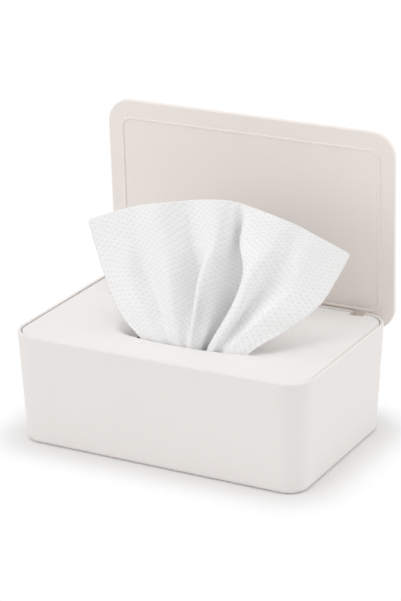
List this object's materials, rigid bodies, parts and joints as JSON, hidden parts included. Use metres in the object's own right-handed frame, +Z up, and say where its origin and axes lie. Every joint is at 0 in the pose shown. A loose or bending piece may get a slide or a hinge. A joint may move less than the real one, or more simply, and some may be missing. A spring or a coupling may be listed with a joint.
{
  "type": "wipes dispenser",
  "caption": "Tabletop box for folded wet wipes with a lift-out slotted cover, a rear-hinged flip lid and one wipe drawn through the slot.",
  "frame": {"origin": "middle of the box's footprint, on the surface that the box stands on", "axes": "+Z up, +X to the right along the long side, +Y to the back, where the lid hinges"},
  "size_m": [0.1898, 0.1291, 0.1793],
  "materials": {
    "box_shell": "satin moulded",
    "lid_panel": "satin moulded",
    "cover": "satin moulded",
    "seal": "soft translucent",
    "pad": "matt",
    "pin_steel": "drawn wire",
    "wipe": "embossed non-woven, damp"
  },
  "bodies": {
    "base": {"base_box": "box_shell", "pad_front_left": "pad", "pad_front_right": "pad", "pad_back_left": "pad", "pad_back_right": "pad", "folded_wipe_01": "wipe", "folded_wipe_02": "wipe", "folded_wipe_03": "wipe", "folded_wipe_04": "wipe", "folded_wipe_05": "wipe", "folded_wipe_06": "wipe", "folded_wipe_07": "wipe", "folded_wipe_08": "wipe", "folded_wipe_09": "wipe", "folded_wipe_10": "wipe", "folded_wipe_11": "wipe", "folded_wipe_12": "wipe", "folded_wipe_13": "wipe", "folded_wipe_14": "wipe", "folded_wipe_15": "wipe", "folded_wipe_16": "wipe"},
    "cover": {"cover_plate": "cover"},
    "lid": {"flip_lid": "lid_panel", "lid_seal": "seal", "hinge_pin_left": "pin_steel", "hinge_pin_right": "pin_steel"},
    "wipe": {"pulled_wipe": "wipe"}
  },
  "joints": [
    {"name": "cover_lift", "type": "slide", "parent": "base", "child": "cover", "axis": [0, 0, 1], "range_m": [0, 0.09]},
    {"name": "lid_hinge", "type": "hinge", "parent": "cover", "child": "lid", "pos_m": [0, 0.057, 0.06115], "axis": [1, 0, 0], "range_deg": [0, 88], "deforming": ["pulled_wipe"]},
    {"name": "wipe_pull", "type": "slide", "parent": "cover", "child": "wipe", "axis": [0, 0, 1], "range_m": [0, 0.015]}
  ]
}
